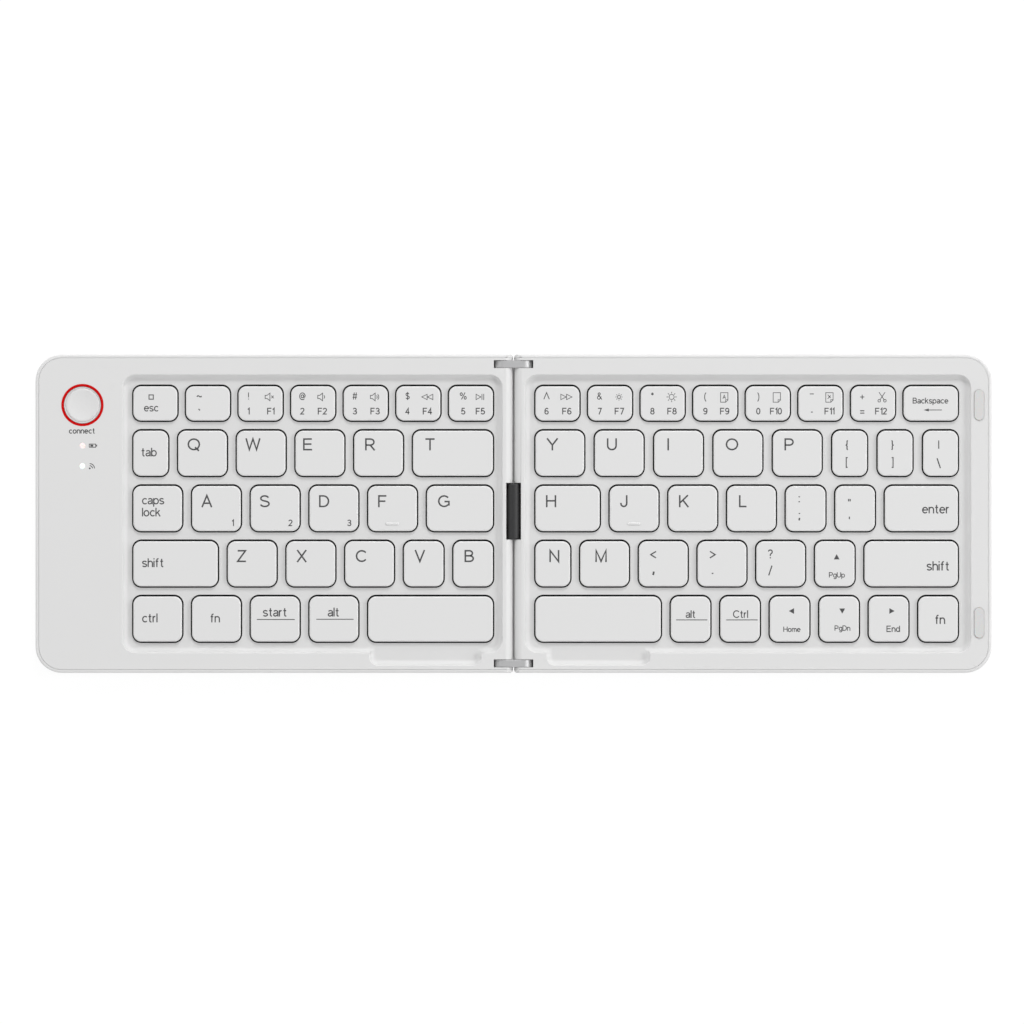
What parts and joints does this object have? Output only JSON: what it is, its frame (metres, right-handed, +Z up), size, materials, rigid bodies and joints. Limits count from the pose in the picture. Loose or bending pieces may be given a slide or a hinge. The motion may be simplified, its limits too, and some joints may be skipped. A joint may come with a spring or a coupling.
{
  "type": "folding keyboard",
  "caption": "Slim wireless keyboard in two halves on two-pivot links: the right half swings up and over and lies face down on the left half.",
  "frame": {"origin": "middle of the resting plane under the feet, on the seam line, keyboard unfolded", "axes": "+X to the right along the keyboard, +Y to the rear, +Z up"},
  "size_m": [0.3012, 0.1002, 0.0086],
  "materials": {
    "case_white": "fine satin texture",
    "keycap_white": "smooth satin",
    "plate_steel": "stamped sheet",
    "membrane_film": "printed film",
    "dome_rubber": "moulded silicone",
    "scissor_plastic": "moulded acetal",
    "battery_foil": "laminated foil pouch",
    "board_green": "solder mask",
    "socket_steel": "drawn shell",
    "button_white": "satin",
    "ring_red": "gloss",
    "switch_black": "moulded",
    "light_white": "frosted light pipe",
    "link_steel": "satin blasted",
    "barrel_black": "satin",
    "cable_film": "polyimide film",
    "magnet_nickel": "nickel plate",
    "bumper_rubber": "moulded silicone",
    "foot_rubber": "moulded rubber",
    "screw_steel": "plated"
  },
  "bodies": {
    "left_half": {"left_bottom_cover": "case_white", "left_top_cover": "case_white", "left_key_plate": "plate_steel", "left_membrane": "membrane_film", "left_domes": "dome_rubber", "left_scissors": "scissor_plastic", "battery": "battery_foil", "main_board": "board_green", "charge_socket": "socket_steel", "connect_ring": "ring_red", "connect_switch": "switch_black", "status_lights": "light_white", "left_hinge_pins": "link_steel", "flex_cable": "cable_film", "left_magnets": "magnet_nickel", "left_feet": "foot_rubber", "left_screws": "screw_steel"},
    "hinge_links": {"rear_link": "link_steel", "front_link": "link_steel"},
    "right_half": {"right_bottom_cover": "case_white", "right_top_cover": "case_white", "right_key_plate": "plate_steel", "right_membrane": "membrane_film", "right_domes": "dome_rubber", "right_scissors": "scissor_plastic", "right_hinge_pins": "link_steel", "right_magnets": "magnet_nickel", "fold_bumpers": "bumper_rubber", "right_feet": "foot_rubber", "right_screws": "screw_steel"},
    "cable_barrel": {"cable_barrel": "barrel_black"},
    "connect_button": {"connect_button": "button_white", "switch_plunger": "switch_black"},
    "left_number_keys": {"left_number_keys": "keycap_white"},
    "tab_key": {"tab_key": "keycap_white"},
    "qwer_keys": {"qwer_keys": "keycap_white"},
    "t_key": {"t_key": "keycap_white"},
    "caps_lock_key": {"caps_lock_key": "keycap_white"},
    "asdf_keys": {"asdf_keys": "keycap_white"},
    "g_key": {"g_key": "keycap_white"},
    "left_shift_key": {"left_shift_key": "keycap_white"},
    "zxc_keys": {"zxc_keys": "keycap_white"},
    "vb_keys": {"vb_keys": "keycap_white"},
    "left_control_keys": {"left_control_keys": "keycap_white"},
    "left_space_key": {"left_space_key": "keycap_white"},
    "right_number_keys": {"right_number_keys": "keycap_white"},
    "backspace_key": {"backspace_key": "keycap_white"},
    "yuiop_keys": {"yuiop_keys": "keycap_white"},
    "bracket_keys": {"bracket_keys": "keycap_white"},
    "h_key": {"h_key": "keycap_white"},
    "jkl_keys": {"jkl_keys": "keycap_white"},
    "semicolon_keys": {"semicolon_keys": "keycap_white"},
    "enter_key": {"enter_key": "keycap_white"},
    "n_key": {"n_key": "keycap_white"},
    "m_keys": {"m_keys": "keycap_white"},
    "up_key": {"up_key": "keycap_white"},
    "right_shift_key": {"right_shift_key": "keycap_white"},
    "right_space_key": {"right_space_key": "keycap_white"},
    "right_control_keys": {"right_control_keys": "keycap_white"},
    "arrow_keys": {"arrow_keys": "keycap_white"}
  },
  "joints": [
    {"name": "fold_lower", "type": "hinge", "parent": "left_half", "child": "hinge_links", "pos_m": [-0.00315, 0, 0.0053], "axis": [0, -1, 0], "range_deg": [0, 90], "deforming": ["flex_cable"]},
    {"name": "fold_upper", "type": "hinge", "parent": "hinge_links", "child": "right_half", "pos_m": [0.00315, 0, 0.0053], "axis": [0, -1, 0], "range_deg": [0, 90]},
    {"name": "barrel_slide", "type": "slide", "parent": "hinge_links", "child": "cable_barrel", "axis": [0, 0, 1], "range_m": [-0.00396, 0]},
    {"name": "connect_press", "type": "slide", "parent": "left_half", "child": "connect_button", "axis": [0, 0, -1], "range_m": [0, 0.0005], "stiffness_N_per_m": 1500, "springref_m": -0.0006},
    {"name": "left_number_keys_press", "type": "slide", "parent": "left_half", "child": "left_number_keys", "axis": [0, 0, -1], "range_m": [0, 0.0015], "stiffness_N_per_m": 1750, "springref_m": -0.0008, "deforming": ["left_domes", "left_scissors"]},
    {"name": "tab_key_press", "type": "slide", "parent": "left_half", "child": "tab_key", "axis": [0, 0, -1], "range_m": [0, 0.0015], "stiffness_N_per_m": 250, "springref_m": -0.0008, "deforming": ["left_domes", "left_scissors"]},
    {"name": "qwer_keys_press", "type": "slide", "parent": "left_half", "child": "qwer_keys", "axis": [0, 0, -1], "range_m": [0, 0.0015], "stiffness_N_per_m": 1000, "springref_m": -0.0008, "deforming": ["left_domes", "left_scissors"]},
    {"name": "t_key_press", "type": "slide", "parent": "left_half", "child": "t_key", "axis": [0, 0, -1], "range_m": [0, 0.0015], "stiffness_N_per_m": 250, "springref_m": -0.0008, "deforming": ["left_domes", "left_scissors"]},
    {"name": "caps_lock_key_press", "type": "slide", "parent": "left_half", "child": "caps_lock_key", "axis": [0, 0, -1], "range_m": [0, 0.0015], "stiffness_N_per_m": 250, "springref_m": -0.0008, "deforming": ["left_domes", "left_scissors"]},
    {"name": "asdf_keys_press", "type": "slide", "parent": "left_half", "child": "asdf_keys", "axis": [0, 0, -1], "range_m": [0, 0.0015], "stiffness_N_per_m": 1000, "springref_m": -0.0008, "deforming": ["left_domes", "left_scissors"]},
    {"name": "g_key_press", "type": "slide", "parent": "left_half", "child": "g_key", "axis": [0, 0, -1], "range_m": [0, 0.0015], "stiffness_N_per_m": 250, "springref_m": -0.0008, "deforming": ["left_domes", "left_scissors"]},
    {"name": "left_shift_key_press", "type": "slide", "parent": "left_half", "child": "left_shift_key", "axis": [0, 0, -1], "range_m": [0, 0.0015], "stiffness_N_per_m": 250, "springref_m": -0.0008, "deforming": ["left_domes", "left_scissors"]},
    {"name": "zxc_keys_press", "type": "slide", "parent": "left_half", "child": "zxc_keys", "axis": [0, 0, -1], "range_m": [0, 0.0015], "stiffness_N_per_m": 750, "springref_m": -0.0008, "deforming": ["left_domes", "left_scissors"]},
    {"name": "vb_keys_press", "type": "slide", "parent": "left_half", "child": "vb_keys", "axis": [0, 0, -1], "range_m": [0, 0.0015], "stiffness_N_per_m": 500, "springref_m": -0.0008, "deforming": ["left_domes", "left_scissors"]},
    {"name": "left_control_keys_press", "type": "slide", "parent": "left_half", "child": "left_control_keys", "axis": [0, 0, -1], "range_m": [0, 0.0015], "stiffness_N_per_m": 1000, "springref_m": -0.0008, "deforming": ["left_domes", "left_scissors"]},
    {"name": "left_space_key_press", "type": "slide", "parent": "left_half", "child": "left_space_key", "axis": [0, 0, -1], "range_m": [0, 0.0015], "stiffness_N_per_m": 250, "springref_m": -0.0008, "deforming": ["left_domes", "left_scissors"]},
    {"name": "right_number_keys_press", "type": "slide", "parent": "right_half", "child": "right_number_keys", "axis": [0, 0, -1], "range_m": [0, 0.0015], "stiffness_N_per_m": 1750, "springref_m": -0.0008, "deforming": ["right_domes", "right_scissors"]},
    {"name": "backspace_key_press", "type": "slide", "parent": "right_half", "child": "backspace_key", "axis": [0, 0, -1], "range_m": [0, 0.0015], "stiffness_N_per_m": 250, "springref_m": -0.0008, "deforming": ["right_domes", "right_scissors"]},
    {"name": "yuiop_keys_press", "type": "slide", "parent": "right_half", "child": "yuiop_keys", "axis": [0, 0, -1], "range_m": [0, 0.0015], "stiffness_N_per_m": 1250, "springref_m": -0.0008, "deforming": ["right_domes", "right_scissors"]},
    {"name": "bracket_keys_press", "type": "slide", "parent": "right_half", "child": "bracket_keys", "axis": [0, 0, -1], "range_m": [0, 0.0015], "stiffness_N_per_m": 750, "springref_m": -0.0008, "deforming": ["right_domes", "right_scissors"]},
    {"name": "h_key_press", "type": "slide", "parent": "right_half", "child": "h_key", "axis": [0, 0, -1], "range_m": [0, 0.0015], "stiffness_N_per_m": 250, "springref_m": -0.0008, "deforming": ["right_domes", "right_scissors"]},
    {"name": "jkl_keys_press", "type": "slide", "parent": "right_half", "child": "jkl_keys", "axis": [0, 0, -1], "range_m": [0, 0.0015], "stiffness_N_per_m": 750, "springref_m": -0.0008, "deforming": ["right_domes", "right_scissors"]},
    {"name": "semicolon_keys_press", "type": "slide", "parent": "right_half", "child": "semicolon_keys", "axis": [0, 0, -1], "range_m": [0, 0.0015], "stiffness_N_per_m": 500, "springref_m": -0.0008, "deforming": ["right_domes", "right_scissors"]},
    {"name": "enter_key_press", "type": "slide", "parent": "right_half", "child": "enter_key", "axis": [0, 0, -1], "range_m": [0, 0.0015], "stiffness_N_per_m": 250, "springref_m": -0.0008, "deforming": ["right_domes", "right_scissors"]},
    {"name": "n_key_press", "type": "slide", "parent": "right_half", "child": "n_key", "axis": [0, 0, -1], "range_m": [0, 0.0015], "stiffness_N_per_m": 250, "springref_m": -0.0008, "deforming": ["right_domes", "right_scissors"]},
    {"name": "m_keys_press", "type": "slide", "parent": "right_half", "child": "m_keys", "axis": [0, 0, -1], "range_m": [0, 0.0015], "stiffness_N_per_m": 1000, "springref_m": -0.0008, "deforming": ["right_domes", "right_scissors"]},
    {"name": "up_key_press", "type": "slide", "parent": "right_half", "child": "up_key", "axis": [0, 0, -1], "range_m": [0, 0.0015], "stiffness_N_per_m": 250, "springref_m": -0.0008, "deforming": ["right_domes", "right_scissors"]},
    {"name": "right_shift_key_press", "type": "slide", "parent": "right_half", "child": "right_shift_key", "axis": [0, 0, -1], "range_m": [0, 0.0015], "stiffness_N_per_m": 250, "springref_m": -0.0008, "deforming": ["right_domes", "right_scissors"]},
    {"name": "right_space_key_press", "type": "slide", "parent": "right_half", "child": "right_space_key", "axis": [0, 0, -1], "range_m": [0, 0.0015], "stiffness_N_per_m": 250, "springref_m": -0.0008, "deforming": ["right_domes", "right_scissors"]},
    {"name": "right_control_keys_press", "type": "slide", "parent": "right_half", "child": "right_control_keys", "axis": [0, 0, -1], "range_m": [0, 0.0015], "stiffness_N_per_m": 750, "springref_m": -0.0008, "deforming": ["right_domes", "right_scissors"]},
    {"name": "arrow_keys_press", "type": "slide", "parent": "right_half", "child": "arrow_keys", "axis": [0, 0, -1], "range_m": [0, 0.0015], "stiffness_N_per_m": 750, "springref_m": -0.0008, "deforming": ["right_domes", "right_scissors"]}
  ],
  "couplings": [
    {"joint": "fold_upper", "follows": "fold_lower", "ratio": 1},
    {"joint": "barrel_slide", "follows": "fold_lower", "m_per_rad": -0.0025146}
  ]
}
